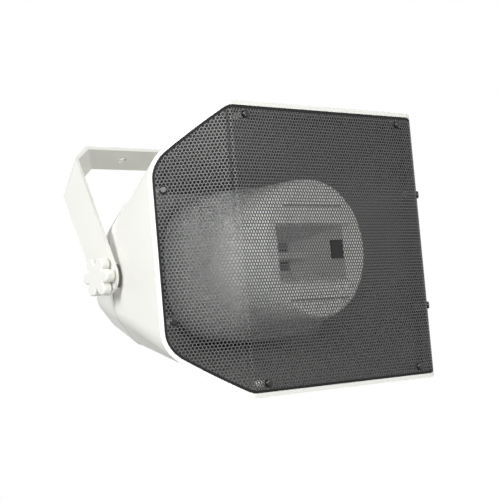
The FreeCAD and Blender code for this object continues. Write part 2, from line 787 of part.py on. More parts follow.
def add_pivot(name, side):
    """Stud, washer and threaded insert of one arm, turned about the pivot axis."""
    sign = f"{side} * "
    face = PIVOT_FACE
    seat = f"({ARM_INNER} + dim.slip_gap + dim.yoke_thickness)"
    tip = sign + f"({face} - dim.insert_length)"
    end = sign + f"({seat} + dim.stud_depth_in_knob)"
    revolve("knob_stud_" + name, [(tip, "0"), (end, "0"), (end, "dim.stud_radius"), (tip, "dim.stud_radius")],
            PIVOT, "H_Axis")
    low = sign + face
    high = sign + f"({face} + dim.washer_thickness)"
    bore = "(dim.stud_radius + dim.running_fit)"
    revolve("arm_washer_" + name, [(low, bore), (high, bore), (high, "dim.washer_radius"),
                                   (low, "dim.washer_radius")], PIVOT, "H_Axis")
    revolve("pivot_insert_" + name, [(tip, bore), (low, bore), (low, "dim.insert_radius"),
                                     (tip, "dim.insert_radius")], PIVOT, "H_Axis")


# Woofer, turned about the rear axis; depths count from the back of the baffle
BACK = "(dim.baffle_depth + dim.baffle_thickness)"
SEAT = f"({BACK} + dim.woofer_gasket_thickness)"
FRAME_BACK = f"({SEAT} + dim.flange_thickness)"
PLATE = f"({SEAT} + dim.basket_depth)"
MAGNET = f"({PLATE} + dim.plate_thickness)"
YOKE_PLATE = f"({MAGNET} + dim.magnet_thickness)"
COIL = "dim.coil_radius"
NECK = f"({SEAT} + dim.cone_depth)"


def add_woofer():
    ring_inner = "(dim.baffle_hole + 2 * dim.suspension_gap)"
    revolve("woofer_gasket", [(ring_inner, BACK), ("dim.woofer_radius", BACK), ("dim.woofer_radius", SEAT),
                              (ring_inner, SEAT)], REAR_AXIS)
    add_bolt_holes("woofer_gasket")
    add_woofer_frame()
    edge = "(dim.cone_radius + dim.suspension_gap)"
    skin = "dim.paper"
    roll = "(dim.flange_inner - dim.cone_radius) * 0.7"
    revolve("woofer_surround", [
        (edge, f"{SEAT} - {skin}"), (f"{edge} + {skin}", f"{SEAT} - {roll}"),
        (f"dim.flange_inner - {skin}", f"{SEAT} - {roll}"), ("dim.flange_inner", f"{SEAT} - {skin}"),
        ("dim.baffle_hole", f"{SEAT} - {skin}"), ("dim.baffle_hole", SEAT),
        (f"dim.flange_inner - {skin}", SEAT), (f"dim.flange_inner - 2 * {skin}", f"{SEAT} - {roll} + {skin}"),
        (f"{edge} + 2 * {skin}", f"{SEAT} - {roll} + {skin}"), (f"{edge} + {skin}", SEAT),
        (edge, SEAT)], REAR_AXIS)
    revolve("woofer_cone", [
        ("dim.cone_radius", f"{SEAT} - {skin}"), ("dim.cone_radius", SEAT), (f"{COIL} + {skin}", NECK),
        (COIL, NECK), (COIL, f"{NECK} - {skin}")], REAR_AXIS)
    cap = f"{NECK} - 2 * {skin}"
    revolve("woofer_dust_cap", [
        ("0", f"{cap} - {COIL} * 0.45"), (f"{COIL} * 0.55", f"{cap} - {COIL} * 0.32"),
        (f"{COIL} - {skin}", cap), (f"{COIL} - {skin}", NECK), (f"{COIL} - 2 * {skin}", NECK),
        (f"{COIL} - 2 * {skin}", cap), (f"{COIL} * 0.5", f"{cap} - {COIL} * 0.32 + {skin}"),
        ("0", f"{cap} - {COIL} * 0.45 + {skin}")], REAR_AXIS)
    wall = f"{COIL} - dim.coil_wall"
    tail = f"{PLATE} + 2 * dim.plate_thickness"
    revolve("woofer_voice_coil", [(wall, NECK), (COIL, NECK), (COIL, tail), (wall, tail)], REAR_AXIS)
    spider = f"({SEAT} + dim.spider_depth)"
    inner = f"{COIL} + dim.suspension_gap"
    wave = f"{COIL} + dim.spider_wave"
    flat = f"{COIL} + 2 * dim.spider_wave"
    revolve("woofer_spider", [
        (inner, f"{spider} - {skin}"), (wave, f"{spider} - 3 * {skin}"),
        (flat, f"{spider} - {skin}"), ("dim.spider_radius", f"{spider} - {skin}"),
        ("dim.spider_radius", spider), (flat, spider), (wave, f"{spider} - 2 * {skin}"),
        (inner, spider)], REAR_AXIS)
    revolve("woofer_front_plate", [("dim.gap_radius", PLATE), ("dim.plate_radius", PLATE),
                                   ("dim.plate_radius", MAGNET), ("dim.gap_radius", MAGNET)], REAR_AXIS)
    bore = "(dim.gap_radius + dim.plate_thickness)"
    revolve("woofer_magnet", [(bore, MAGNET), ("dim.magnet_radius", MAGNET), ("dim.magnet_radius", YOKE_PLATE),
                              (bore, YOKE_PLATE)], REAR_AXIS)
    end = f"{YOKE_PLATE} + dim.plate_thickness"
    revolve("woofer_back_plate", [
        ("0", PLATE), ("dim.pole_radius", PLATE), ("dim.pole_radius", YOKE_PLATE),
        ("dim.plate_radius", YOKE_PLATE), ("dim.plate_radius", end), ("0", end)], REAR_AXIS)


def add_bolt_holes(label):
    """Clearance holes of the woofer's bolts, on their circle through one turned piece."""
    body = parts[label]
    half_step = math.pi / WOOFER_BOLTS
    sketch = body.newObject("Sketcher::SketchObject", label + "_bolt_hole")
    plane = next(item for item in body.Origin.OriginFeatures if item.Role == "XZ_Plane")
    sketch.AttachmentSupport = (plane, [""])
    sketch.MapMode = "FlatFace"
    radius = size("woofer_bolt_radius")
    centre = Vector(radius * math.cos(half_step), radius * math.sin(half_step), 0)
    sketch.addGeometry(Part.Circle(centre, Vector(0, 0, 1), size("woofer_bolt_shank")))
    bound = [("DistanceX", (-1, 1, 0, 3, centre.x), f"dim.woofer_bolt_radius * cos(180 deg / {WOOFER_BOLTS})"),
             ("DistanceY", (-1, 1, 0, 3, centre.y), f"dim.woofer_bolt_radius * sin(180 deg / {WOOFER_BOLTS})"),
             ("Radius", (0, size("woofer_bolt_shank")), "dim.woofer_bolt_shank")]
    for kind, items, expression in bound:
        number = sketch.addConstraint(Sketcher.Constraint(kind, *items))
        sketch.setExpression(f"Constraints[{number}]", expression)
    doc.recompute()
    pocket = body.newObject("PartDesign::Pocket", label + "_bolt_pocket")
    pocket.Profile = sketch
    pocket.Type = "ThroughAll"
    pocket.Midplane = True
    doc.recompute()
    pattern = body.newObject("PartDesign::PolarPattern", label + "_bolt_holes")
    pattern.Originals = [pocket]
    pattern.Axis = (sketch, ["N_Axis"])
    pattern.Angle = 360
    pattern.Occurrences = WOOFER_BOLTS
    body.Tip = pattern


def add_woofer_frame():
    """Pressed basket with its flange, spider ledge and six windows."""
    sheet = "dim.basket_sheet"
    ledge = f"({SEAT} + dim.spider_depth)"
    outer = f"(dim.spider_radius + 3 * {sheet})"
    revolve("woofer_frame", [
        ("dim.flange_inner", SEAT), ("dim.woofer_radius", SEAT), ("dim.woofer_radius", FRAME_BACK),
        (f"dim.flange_inner + {sheet}", FRAME_BACK), (outer, f"{ledge} + {sheet}"),
        ("dim.basket_base", f"{ledge} + {sheet}"), ("dim.basket_base", PLATE),
        ("dim.gap_radius + dim.gap_relief", PLATE), ("dim.gap_radius + dim.gap_relief", f"{PLATE} - {sheet}"),
        (f"dim.basket_base - {sheet}", f"{PLATE} - {sheet}"),
        (f"dim.basket_base - {sheet}", f"{ledge} + {sheet}"),
        (f"dim.spider_radius - {sheet}", f"{ledge} + {sheet}"), (f"dim.spider_radius - {sheet}", ledge),
        (f"{outer} - {sheet}", ledge), ("dim.flange_inner", FRAME_BACK)], REAR_AXIS)
    body = parts["woofer_frame"]
    low = f"{FRAME_BACK} + 2 * {sheet}"
    high = f"{ledge} - {sheet}"
    window = sketch_outline(body, "XY_Plane", "woofer_frame_window", [
        ("dim.spider_radius", low), ("dim.woofer_radius", low), ("dim.woofer_radius", high),
        ("dim.spider_radius", high)])
    doc.recompute()
    pocket = body.newObject("PartDesign::Pocket", "woofer_frame_pocket")
    pocket.Profile = window
    pocket.Midplane = True
    pocket.setExpression("Length", "dim.spider_radius")
    doc.recompute()
    pattern = body.newObject("PartDesign::PolarPattern", "woofer_frame_windows")
    pattern.Originals = [pocket]
    pattern.Axis = (window, ["V_Axis"])
    pattern.Angle = 360
    pattern.Occurrences = BASKET_WINDOWS
    body.Tip = pattern
    add_bolt_holes("woofer_frame")


def make_woofer_bolts():
    front = Vector(0, -1, 0)
    bolts = [screw(place, front, size("woofer_bolt_head"), size("screw_head_height"), size("woofer_bolt_shank"),
                   size("woofer_bolt_length")) for place in woofer_bolt_places()]
    return Part.makeCompound(bolts)


# Back: tie screws, terminal cover, gland, terminal block, transformer and crossover board
def rounded_plate(half_width, half_height, corner, depth, thickness):
    outline = [(half_width, -half_height), (half_width, half_height), (-half_width, half_height),
               (-half_width, -half_height)]
    wire = rounded_wire(outline, corner, depth, size("rear_drop"))
    return Part.Face(wire).extrude(Vector(0, thickness, 0))


cover_seat = size("back_depth") + size("cover_gasket")
cover_back = cover_seat + size("cover_thickness")


def make_cover():
    plate = rounded_plate(size("cover_half_width"), size("cover_half_height"), size("cover_corner"), cover_seat,
                          size("cover_thickness"))
    back = Vector(0, 1, 0)
    bores = [rod(size("cover_screw_shank"), place + back * cover_seat, size("cover_thickness"), back)
             for place in cover_screw_places()]
    stem = Vector(0, cover_seat, -size("rear_drop") - size("gland_drop"))
    bores.append(rod(size("gland_stem"), stem, size("cover_thickness"), back))
    return plate.cut(bores)


def make_cover_gasket():
    plate = rounded_plate(size("cover_half_width"), size("cover_half_height"), size("cover_corner"),
                          size("back_depth"), size("cover_gasket"))
    hole_width = size("cover_half_width") - size("cover_overlap")
    hole_height = size("cover_half_height") - size("cover_overlap")
    corner = Vector(-hole_width, size("back_depth"), -hole_height - size("rear_drop"))
    back = Vector(0, 1, 0)
    bores = [rod(size("cover_screw_shank"), place + back * size("back_depth"), size("cover_gasket"), back)
             for place in cover_screw_places()]
    bores.append(Part.makeBox(2 * hole_width, size("cover_gasket"), 2 * hole_height, corner))
    return plate.cut(bores)


def make_back_screws(places, depth, head_radius, shank_radius, length):
    front = Vector(0, -1, 0)
    screws = [screw(place - front * depth, front, head_radius, size("screw_head_height"), shank_radius, length)
              for place in places]
    return Part.makeCompound(screws)


def add_gland():
    """Gland body through the terminal cover, its lock nut inside and its dome nut outside."""
    base = REAR_AXIS - Vector(0, 0, size("gland_drop"))
    seat = "(dim.back_depth + dim.cover_gasket)"
    outside = f"({seat} + dim.cover_thickness)"
    flange = f"({outside} + dim.gland_stem * 0.7)"
    tip = f"({flange} + dim.gland_stem)"
    inside = f"({seat} - dim.gland_stem)"
    revolve("cable_gland", [
        ("dim.gland_bore", inside), ("dim.gland_stem", inside), ("dim.gland_stem", outside),
        ("dim.gland_flange", outside), ("dim.gland_flange", flange), ("dim.gland_stem", flange),
        ("dim.gland_stem", tip), ("dim.gland_bore", tip)], base)
    dome = f"{tip} + dim.gland_stem * 0.8"
    revolve("gland_nut", [
        ("dim.gland_stem", flange), ("dim.gland_nut_radius", flange), ("dim.gland_nut_radius", tip),
        ("dim.gland_bore + dim.gland_lip", dome), ("dim.gland_bore", dome), ("dim.gland_bore", tip),
        ("dim.gland_stem", tip)], base)
    nut = f"({seat} - dim.gland_stem * 0.6)"
    revolve("gland_lock_nut", [("dim.gland_stem", nut), ("dim.gland_flange", nut), ("dim.gland_flange", seat),
                               ("dim.gland_stem", seat)], base)


def add_box(label, width, depth, height, x, y, z):
    """Block whose sizes and place are bound to the sheet, in the horn frame."""
    block = doc.addObject("Part::Box", label)
    block.Label = label
    block.setExpression("Length", width)
    block.setExpression("Width", depth)
    block.setExpression("Height", height)
    block.Placement = Placement(HORN + Vector(value(x), value(y), value(z)), Rotation())
    parts[label] = block
    return block


def add_electrics():
    inner_back = "(dim.back_depth - dim.wall)"
    add_box("terminal_block", "2 * dim.terminal_half_width", "dim.terminal_depth", "dim.terminal_height",
            "-dim.terminal_half_width", "dim.back_depth + dim.cover_gasket - dim.terminal_depth",
            "-dim.rear_drop + dim.gland_flange - dim.terminal_height / 4")
    add_box("line_transformer", "dim.transformer_width", "dim.transformer_depth", "dim.transformer_height",
            "-dim.transformer_x - dim.transformer_width / 2", f"{inner_back} - dim.transformer_depth",
            "-dim.rear_drop - dim.transformer_height / 2")
    board_back = f"({inner_back} - dim.board_stand)"
    add_box("crossover_board", "dim.board_width", "dim.board_thickness", "dim.board_height",
            "dim.board_x - dim.board_width / 2", f"{board_back} - dim.board_thickness",
            "-dim.rear_drop - dim.board_height / 2")
    face = f"({board_back} - dim.board_thickness)"
    middle = HORN + Vector(size("board_x"), 0, -size("rear_drop"))
    revolve("crossover_coil", [
        ("dim.coil_block_radius / 2", face), ("dim.coil_block_radius", face),
        ("dim.coil_block_radius", f"{face} - dim.coil_block_height"),
        ("dim.coil_block_radius / 2", f"{face} - dim.coil_block_height")], middle)


def add_badge():
    """Bare plate in the middle of the grille, where a maker's sign would be."""
    add_box("badge_plate", "2 * dim.badge_half_width", "dim.badge_thickness", "2 * dim.badge_half_height",
            "-dim.badge_half_width", "dim.grille_recess - dim.badge_thickness",
            "-dim.badge_half_height - dim.pod_drop")


add_feature("horn_housing", make_housing())
add_feature("rear_shell", make_rear_shell())
add_feature("rear_shell_gasket", make_shell_gasket())
add_feature("grille", make_grille())
add_feature("grille_screws", make_grille_screws())
add_badge()
add_feature("centre_pod", make_pod(), POD)
add_feature("pod_cover", make_pod_cover(), POD)
add_feature("pod_screws", make_pod_screws())
add_feature("hf_driver", make_hf_driver(), POD)
add_feature("hf_driver_bolts", make_hf_bolts(), POD)
add_woofer()
add_feature("woofer_bolts", make_woofer_bolts())
add_feature("tie_screws", make_back_screws(tie_places, size("back_depth"), size("tie_screw_head"),
                                           size("tie_screw_shank"), size("back_depth") - baffle_back))
add_feature("terminal_cover", make_cover())
add_feature("terminal_cover_gasket", make_cover_gasket())
add_feature("terminal_cover_screws", make_back_screws(cover_screw_places(), cover_back, size("cover_screw_head"),
                                                      size("cover_screw_shank"), size("cover_screw_length")))
add_gland()
add_electrics()
add_feature("yoke", make_yoke(), PIVOT, Rotation(Vector(1, 0, 0), -size("yoke_lean")))
for name, side in (("left", -1), ("right", 1)):
    add_feature("knob_" + name, make_knob(side), PIVOT)
    add_pivot(name, side)

doc.recompute()
for item in doc.Objects:
    if "Invalid" in item.State or "Error" in item.State:
        raise RuntimeError(f"{item.Label} failed to build")
for label, item in parts.items():
    if item.Shape.isNull() or not item.Shape.isValid():
        raise RuntimeError(f"{label} has no valid shape")
os.makedirs("parts", exist_ok=True)
for label, item in parts.items():
    item.Shape.exportStep(f"parts/{label}.step")
    print(label, len(item.Shape.Solids), round(item.Shape.Volume / 1000, 2), "cm3")
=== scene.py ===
import math

import bpy
from bpy.props import FloatProperty, FloatVectorProperty, PointerProperty
from mathutils import Matrix, Vector
from mathutils.geometry import convex_hull_2d


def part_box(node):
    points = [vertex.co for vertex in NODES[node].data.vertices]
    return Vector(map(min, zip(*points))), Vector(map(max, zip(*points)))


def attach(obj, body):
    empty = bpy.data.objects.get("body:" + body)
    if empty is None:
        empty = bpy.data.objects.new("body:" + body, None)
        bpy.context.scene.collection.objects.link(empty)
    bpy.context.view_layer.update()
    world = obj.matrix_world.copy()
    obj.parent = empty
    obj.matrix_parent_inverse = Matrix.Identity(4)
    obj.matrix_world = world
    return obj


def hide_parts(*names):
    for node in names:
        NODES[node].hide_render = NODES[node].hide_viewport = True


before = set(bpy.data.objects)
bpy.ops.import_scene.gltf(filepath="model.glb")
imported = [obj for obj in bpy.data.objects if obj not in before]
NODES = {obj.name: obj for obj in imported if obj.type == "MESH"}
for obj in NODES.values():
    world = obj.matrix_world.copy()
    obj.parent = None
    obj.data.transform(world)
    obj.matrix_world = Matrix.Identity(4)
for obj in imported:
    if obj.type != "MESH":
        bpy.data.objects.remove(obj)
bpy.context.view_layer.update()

bl_info = {
    "name": "Horn Speaker",
    "version": (1, 0, 0),
    "blender": (4, 5, 0),
    "location": "View3D > Sidebar > Horn Speaker",
    "description": "Dresses the horn speaker's solids with a fine perforated grille, finishes and a stage",
    "category": "Object",
}

MM = 0.001

# The horn's own frame: its origin lies on the flat panel's lip, in the middle of the mouth
MOUTH_HALF_HEIGHT = 201 * MM
HOUSING_LOW, HOUSING_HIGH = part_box("horn_housing")
HORN_FRONT = HOUSING_LOW.y
HORN_MIDDLE = HOUSING_HIGH.z - MOUTH_HALF_HEIGHT

# Surface grain of all finishes
GRAIN_DEPTH = 0.05 * MM
TONE_DRIFT = 0.05

# What counts as the inside of the horn: walls that face its axis, and ledges behind the grille that face forwards
INWARD_LIMIT = -30 * MM
LEDGE_SETBACK = 1.2 * MM
FORWARD_LIMIT = -0.5

# The pod's rectangular mouth and the creases above and below it, measured from the middle of that mouth; shade is
# painted in both
POD_DROP = 4.5 * MM
CREASE_HEIGHT = 68 * MM
CREASE_HALF_WIDTH = 1.3 * MM
CREASE_HALF_LENGTH = 60 * MM
CREASE_REACH = 6 * MM
POD_MOUTH_HALF_WIDTH = 80 * MM
POD_MOUTH_HALF_HEIGHT = 44 * MM
POD_MOUTH_START = 10 * MM
# Painted shade: the share of the pod's tone left in the creases and the mouth, and how strongly the mouth's walls
# get it
PAINTED_SHADE_TONE = 0.3
POD_MOUTH_SHADE = 0.6

# Modelling of the grille
OUTLINE_TOLERANCE = 0.1 * MM
WELD_DISTANCE = 0.01 * MM
BORDER_OVERLAP = 0.3 * MM

# Camera of the photograph, from the horn's own origin
CAMERA_PLACE = Vector((-1456.5, -1355.6, -135.4)) * MM
CAMERA_RIGHT = Vector((0.7269, -0.6812, -0.0871)).normalized()
CAMERA_FORWARD = Vector((0.6866, 0.7236, 0.0706)).normalized()
SENSOR_WIDTH = 36

# Floor: its width, its tone and how much of it glows for the camera
FLOOR_SIZE = 6.4
FLOOR_TONE = 0.55
FLOOR_GLOW = 0.8

# Square soft lamps: degrees to the left of the horn's front, degrees of rise, width and power
LAMP_DISTANCE = 2.3
LAMP_TARGET_DEPTH = 0.1
LAMPS = {
    "right_softbox": (-19, 12, 0.9, 22),
    "front_softbox": (35, 16, 0.8, 17),
    "left_softbox": (80, 15, 0.8, 42),
    "top_softbox": (180, 82, 1.6, 17),
    "rear_softbox": (-140, 20, 1.2, 26),
}


class GrilleSizes(bpy.types.PropertyGroup):
    """Sizes of the folded, perforated sheet"""

    pitch: FloatProperty(name="Pitch", description="Distance between holes in a row", default=5.1 * MM,
                         unit="LENGTH", precision=5)
    bar: FloatProperty(name="Bar", description="Web left between two holes", default=1.1 * MM, unit="LENGTH",
                       precision=5)
    border: FloatProperty(name="Border", description="Plain margin round the perforation", default=3.2 * MM,
                          unit="LENGTH", precision=5)
    thickness: FloatProperty(name="Thickness", description="Sheet thickness", default=1.1 * MM, unit="LENGTH",
                             precision=5)
    recess: FloatProperty(name="Recess", description="Depth of the sheet's front behind the lip",
                          default=0.65 * MM, unit="LENGTH", precision=5)
    fold_line: FloatProperty(name="Fold Line", description="Half width at which the panel would meet a wing",
                             default=188 * MM, unit="LENGTH", precision=5)
    fold_radius: FloatProperty(name="Fold Radius", description="Bend radius of the lip at a fold",
                               default=20 * MM, unit="LENGTH", precision=5)
    fold_angle: FloatProperty(name="Fold Angle", description="Angle of a wing to the panel",
                              default=math.radians(39.5), subtype="ANGLE")


class FinishColours(bpy.types.PropertyGroup):
    """Base colours of the finishes that show"""

    housing: FloatVectorProperty(name="Housing", description="Moulded housing", subtype="COLOR", size=3,
                                 min=0, max=1, default=(0.86, 0.86, 0.81))
    yoke: FloatVectorProperty(name="Yoke", description="Powder coat of the yoke", subtype="COLOR", size=3,
                              min=0, max=1, default=(0.75, 0.75, 0.707))
    pod: FloatVectorProperty(name="Pod", description="Moulding behind the grille", subtype="COLOR", size=3,
                             min=0, max=1, default=(0.87, 0.87, 0.84))
    inside: FloatVectorProperty(name="Inside", description="Inner walls of the horn", subtype="COLOR", size=3,
                                min=0, max=1, default=(0.19, 0.19, 0.183))
    grille: FloatVectorProperty(name="Grille", description="Powder coat of the grille", subtype="COLOR", size=3,
                                min=0, max=1, default=(0.058, 0.058, 0.059))


class StageSettings(bpy.types.PropertyGroup):
    """Camera and light"""

    lens: FloatProperty(name="Lens", description="Focal length of the camera", default=100.46, min=1)
    floor_drop: FloatProperty(name="Floor", description="Height of the floor", default=-1.05, unit="LENGTH")
    sky: FloatProperty(name="Sky", description="Strength of the even light all round", default=0.06, min=0)


# Finishes

def add_node(tree, kind, place=(0, 0), **values):
    """New shader node with its plain settings."""
    node = tree.nodes.new(kind)
    node.location = place
    for name, setting in values.items():
        setattr(node, name, setting)
    return node


def grain_group():
    """Shared effect: fine surface grain as a height, with a slow drift of tone and roughness."""
    name = "surface_grain"
    if name in bpy.data.node_groups:
        return bpy.data.node_groups[name]
    tree = bpy.data.node_groups.new(name, "ShaderNodeTree")
    face = tree.interface
    face.new_socket("Grain Scale", in_out="INPUT", socket_type="NodeSocketFloat").default_value = 900
    face.new_socket("Drift Scale", in_out="INPUT", socket_type="NodeSocketFloat").default_value = 9
    face.new_socket("Tone", in_out="INPUT", socket_type="NodeSocketColor").default_value = (0.8, 0.8, 0.8, 1)
    face.new_socket("Tone Drift", in_out="INPUT", socket_type="NodeSocketFloat").default_value = 0.04
    face.new_socket("Roughness", in_out="INPUT", socket_type="NodeSocketFloat").default_value = 0.5
    face.new_socket("Roughness Drift", in_out="INPUT", socket_type="NodeSocketFloat").default_value = 0.08
    face.new_socket("Tone", in_out="OUTPUT", socket_type="NodeSocketColor")
    face.new_socket("Roughness", in_out="OUTPUT", socket_type="NodeSocketFloat")
    face.new_socket("Height", in_out="OUTPUT", socket_type="NodeSocketFloat")
    links = tree.links
    source = add_node(tree, "NodeGroupInput", (-900, 0))
    result = add_node(tree, "NodeGroupOutput", (500, 0))
    where = add_node(tree, "ShaderNodeTexCoord", (-900, -300))
    grain = add_node(tree, "ShaderNodeTexNoise", (-600, -300))
    grain.inputs["Detail"].default_value = 3
    drift = add_node(tree, "ShaderNodeTexNoise", (-600, 100))
    drift.inputs["Detail"].default_value = 4
    for noise, scale in ((grain, "Grain Scale"), (drift, "Drift Scale")):
        links.new(where.outputs["Object"], noise.inputs["Vector"])
        links.new(source.outputs[scale], noise.inputs["Scale"])
    centred = add_node(tree, "ShaderNodeMath", (-350, 100), operation="SUBTRACT")
    centred.inputs[1].default_value = 0.5
    links.new(drift.outputs["Fac"], centred.inputs[0])
    tone_shift = add_node(tree, "ShaderNodeMath", (-150, 200), operation="MULTIPLY_ADD")
    tone_shift.inputs[2].default_value = 1.0
    links.new(centred.outputs[0], tone_shift.inputs[0])
    links.new(source.outputs["Tone Drift"], tone_shift.inputs[1])
    tinted = add_node(tree, "ShaderNodeVectorMath", (100, 200), operation="SCALE")
    links.new(source.outputs["Tone"], tinted.inputs[0])
    links.new(tone_shift.outputs[0], tinted.inputs["Scale"])
    rough = add_node(tree, "ShaderNodeMath", (100, 0), operation="MULTIPLY_ADD")
    links.new(centred.outputs[0], rough.inputs[0])
    links.new(source.outputs["Roughness Drift"], rough.inputs[1])
    links.new(source.outputs["Roughness"], rough.inputs[2])
    links.new(tinted.outputs[0], result.inputs["Tone"])
    links.new(rough.outputs[0], result.inputs["Roughness"])
    links.new(grain.outputs["Fac"], result.inputs["Height"])
    return tree


def grained_finish(name, colour, roughness, grain=900, strength=0.25, metallic=0.0, specular=0.5):
    """Finish made from the shared grain."""
    material = bpy.data.materials.new(name)
    material.use_nodes = True
    tree = material.node_tree
    shader = tree.nodes["Principled BSDF"]
    shader.inputs["Metallic"].default_value = metallic
    shader.inputs["Specular IOR Level"].default_value = specular
    group = add_node(tree, "ShaderNodeGroup", (-500, 0), node_tree=grain_group())
    group.inputs["Grain Scale"].default_value = grain
    group.inputs["Tone"].default_value = (*colour, 1)
    group.inputs["Tone Drift"].default_value = TONE_DRIFT
    group.inputs["Roughness"].default_value = roughness
    bump = add_node(tree, "ShaderNodeBump", (-250, -250))
    bump.inputs["Strength"].default_value = strength
    bump.inputs["Distance"].default_value = GRAIN_DEPTH
    links = tree.links
    links.new(group.outputs["Tone"], shader.inputs["Base Color"])
    links.new(group.outputs["Roughness"], shader.inputs["Roughness"])
    links.new(group.outputs["Height"], bump.inputs["Height"])
    links.new(bump.outputs["Normal"], shader.inputs["Normal"])
    return material


def mix_tone(material, factor, colour):
    """Blends a finish's own tone with another colour, where the factor's socket says so."""
    tree = material.node_tree
    group = next(node for node in tree.nodes if "Tone" in node.outputs)
    mix = add_node(tree, "ShaderNodeMix", (-250, 250), data_type="RGBA")
    mix.inputs["B"].default_value = (*colour, 1)
    tree.links.new(factor, mix.inputs["Factor"])
    tree.links.new(group.outputs["Tone"], mix.inputs["A"])
    tree.links.new(mix.outputs["Result"], tree.nodes["Principled BSDF"].inputs["Base Color"])


def banded_finish(name, colour, band_colour, bands, axis, roughness, metallic=0.0):
    """Finish with fine parallel bands, for windings, laminations, boards and cloth."""
    material = grained_finish(name, colour, roughness, grain=400, metallic=metallic)
    tree = material.node_tree
    where = add_node(tree, "ShaderNodeTexCoord", (-1100, 300))
    wave = add_node(tree, "ShaderNodeTexWave", (-850, 300), wave_type="BANDS", bands_direction=axis)
    wave.inputs["Scale"].default_value = bands
    wave.inputs["Distortion"].default_value = 0.4
    tree.links.new(where.outputs["Object"], wave.inputs["Vector"])
    mix_tone(material, wave.outputs["Fac"], band_colour)
    return material


def math_node(tree, operation, first, second=None, place=(0, 0)):
    """Arithmetic on sockets or plain numbers; gives the result's socket."""
    node = add_node(tree, "ShaderNodeMath", place, operation=operation)
    for socket, operand in zip(node.inputs, (first, second)):
        if isinstance(operand, (int, float)):
            socket.default_value = operand
        elif operand is not None:
            tree.links.new(operand, socket)
    return node.outputs[0]


def inside_group(sizes):
    """Shared effect: one on the inner walls of the horn and on what faces forwards within it, else nought."""
    tree = bpy.data.node_groups.new("inside_horn", "ShaderNodeTree")
    tree.interface.new_socket("Inside", in_out="OUTPUT", socket_type="NodeSocketFloat")
    result = add_node(tree, "NodeGroupOutput", (900, 0))
    where = add_node(tree, "ShaderNodeTexCoord", (-900, 0))
    place = add_node(tree, "ShaderNodeSeparateXYZ", (-700, 150))
    facing = add_node(tree, "ShaderNodeSeparateXYZ", (-700, -150))
    tree.links.new(where.outputs["Object"], place.inputs[0])
    tree.links.new(where.outputs["Normal"], facing.inputs[0])
    level = math_node(tree, "SUBTRACT", place.outputs["Z"], HORN_MIDDLE, (-500, 0))
    sideways = math_node(tree, "MULTIPLY", facing.outputs["X"], place.outputs["X"], (-300, 100))
    upwards = math_node(tree, "MULTIPLY", facing.outputs["Z"], level, (-300, -100))
    outward = math_node(tree, "ADD", sideways, upwards, (-100, 0))
    wall = math_node(tree, "LESS_THAN", outward, INWARD_LIMIT, (100, 0))
    depth = math_node(tree, "SUBTRACT", place.outputs["Y"], HORN_FRONT, (-500, 400))
    across = math_node(tree, "ABSOLUTE", place.outputs["X"], None, (-500, 550))
    past_fold = math_node(tree, "SUBTRACT", across, sizes.fold_line, (-300, 550))
    lost = math_node(tree, "MULTIPLY", past_fold, math.sin(sizes.fold_angle), (-100, 550))
    kept = math_node(tree, "MULTIPLY", depth, math.cos(sizes.fold_angle), (-100, 400))
    wing_depth = math_node(tree, "SUBTRACT", kept, lost, (100, 450))
    setback = math_node(tree, "MINIMUM", depth, wing_depth, (300, 400))
    behind = math_node(tree, "GREATER_THAN", setback, LEDGE_SETBACK, (500, 400))
    forward = math_node(tree, "LESS_THAN", facing.outputs["Y"], FORWARD_LIMIT, (300, 200))
    ledge = math_node(tree, "MULTIPLY", behind, forward, (500, 200))
    tree.links.new(math_node(tree, "MAXIMUM", wall, ledge, (700, 0)), result.inputs["Inside"])
    return tree


def lined_finish(name, colour, lining, roughness, sizes):
    """Moulded finish outside, with another tone on the horn's inner walls."""
    material = grained_finish(name, colour, roughness, grain=1500, strength=0.2)
    inside = add_node(material.node_tree, "ShaderNodeGroup", (-500, 350), node_tree=inside_group(sizes))
    mix_tone(material, inside.outputs["Inside"], lining)
    return material


